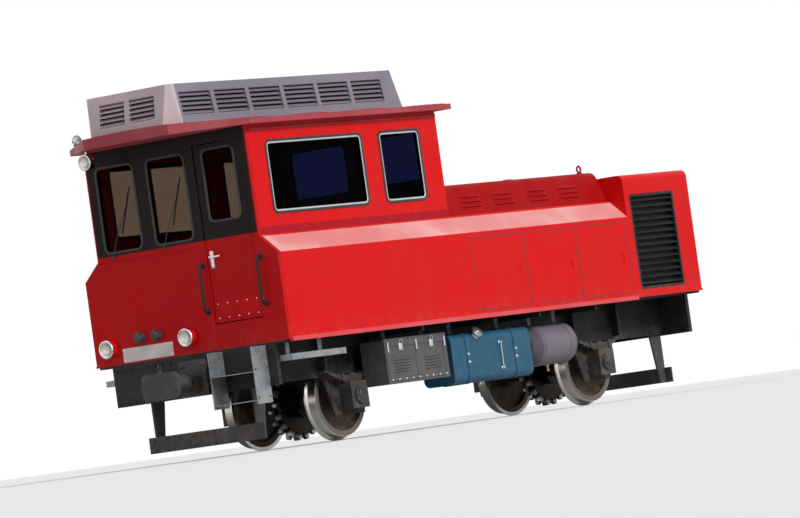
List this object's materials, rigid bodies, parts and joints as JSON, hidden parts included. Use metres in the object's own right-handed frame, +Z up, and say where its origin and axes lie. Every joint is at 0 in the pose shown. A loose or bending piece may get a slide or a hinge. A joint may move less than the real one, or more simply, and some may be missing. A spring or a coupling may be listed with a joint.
{
  "type": "rack railway diesel locomotive",
  "caption": "Two-axle rack railway locomotive with an end cab, a low engine hood, a full-width radiator end and toothed rack pinions on its axles.",
  "frame": {"origin": "floor under the middle of the locomotive, at the lowest point of the wheel flanges", "axes": "+X along the locomotive to the radiator end, +Y to its right side seen from the cab end, +Z up"},
  "size_m": [8.1, 2.52, 3.6648],
  "materials": {
    "red_paint": "gloss",
    "roof_red": "satin",
    "roof_grey": "satin",
    "frame_black": "satin",
    "cast_black": "rough",
    "wheel_steel": "worn tread",
    "pinion_steel": "greased",
    "spring_steel": "oiled",
    "box_grey": "satin",
    "tank_blue": "satin",
    "reservoir_grey": "satin",
    "step_grey": "worn",
    "grille_dark": "satin",
    "core_dark": "matte",
    "fan_grey": "satin",
    "engine_grey": "matte",
    "floor_rubber": "ribbed",
    "desk_grey": "textured",
    "seat_black": "woven",
    "window_glass": "clear",
    "lamp_metal": "polished"
  },
  "bodies": {
    "chassis": {"air_horn": "roof_grey", "air_reservoir": "reservoir_grey", "axle_boxes_front": "cast_black", "axle_boxes_rear": "cast_black", "battery_box": "box_grey", "body_side_left": "red_paint", "body_side_right": "red_paint", "cab_floor": "floor_rubber", "cab_front_wall": "red_paint", "cab_glass": "window_glass", "cab_rear_wall": "red_paint", "cab_roof": "roof_red", "cab_side_left": "red_paint", "cab_side_right": "red_paint", "centre_buffer_front": "cast_black", "centre_buffer_rear": "cast_black", "deck": "frame_black", "driver_desk": "desk_grey", "driver_seat": "seat_black", "end_beams": "frame_black", "engine_block": "engine_grey", "entrance_step": "step_grey", "fan_carrier": "frame_black", "fan_guard": "grille_dark", "frame_plate_left": "frame_black", "frame_plate_right": "frame_black", "fuel_tank": "tank_blue", "grab_rails": "step_grey", "headlamp_top": "lamp_metal", "headlamps_front": "lamp_metal", "headlamps_rear": "lamp_metal", "hood": "red_paint", "leaf_springs_front": "spring_steel", "leaf_springs_rear": "spring_steel", "radiator_cores": "core_dark", "radiator_grille_left": "grille_dark", "radiator_grille_right": "grille_dark", "radiator_housing": "red_paint", "rail_guard_front": "frame_black", "rail_guard_rear": "frame_black", "roof_housing": "roof_grey", "side_steps": "step_grey"},
    "wheelset_front": {"wheelset_front": "wheel_steel", "rack_pinion_front": "pinion_steel"},
    "wheelset_rear": {"wheelset_rear": "wheel_steel", "rack_pinion_rear": "pinion_steel"},
    "front_door": {"cab_door": "red_paint", "door_glass": "window_glass"},
    "cooling_fan": {"radiator_fan": "fan_grey"}
  },
  "joints": [
    {"name": "wheelset_front_spin", "type": "hinge", "parent": "chassis", "child": "wheelset_front", "pos_m": [-2.025, 0, 0.428], "axis": [0, 1, 0], "continuous": true},
    {"name": "wheelset_rear_spin", "type": "hinge", "parent": "chassis", "child": "wheelset_rear", "pos_m": [2.175, 0, 0.428], "axis": [0, 1, 0], "continuous": true},
    {"name": "front_door_swing", "type": "hinge", "parent": "chassis", "child": "front_door", "pos_m": [-3.428, -0.96, 2.1], "axis": [0, 0, -1], "range_deg": [0, 90]},
    {"name": "cooling_fan_spin", "type": "hinge", "parent": "chassis", "child": "cooling_fan", "pos_m": [2.915, 0, 2.2], "axis": [0, 0, 1], "continuous": true}
  ]
}
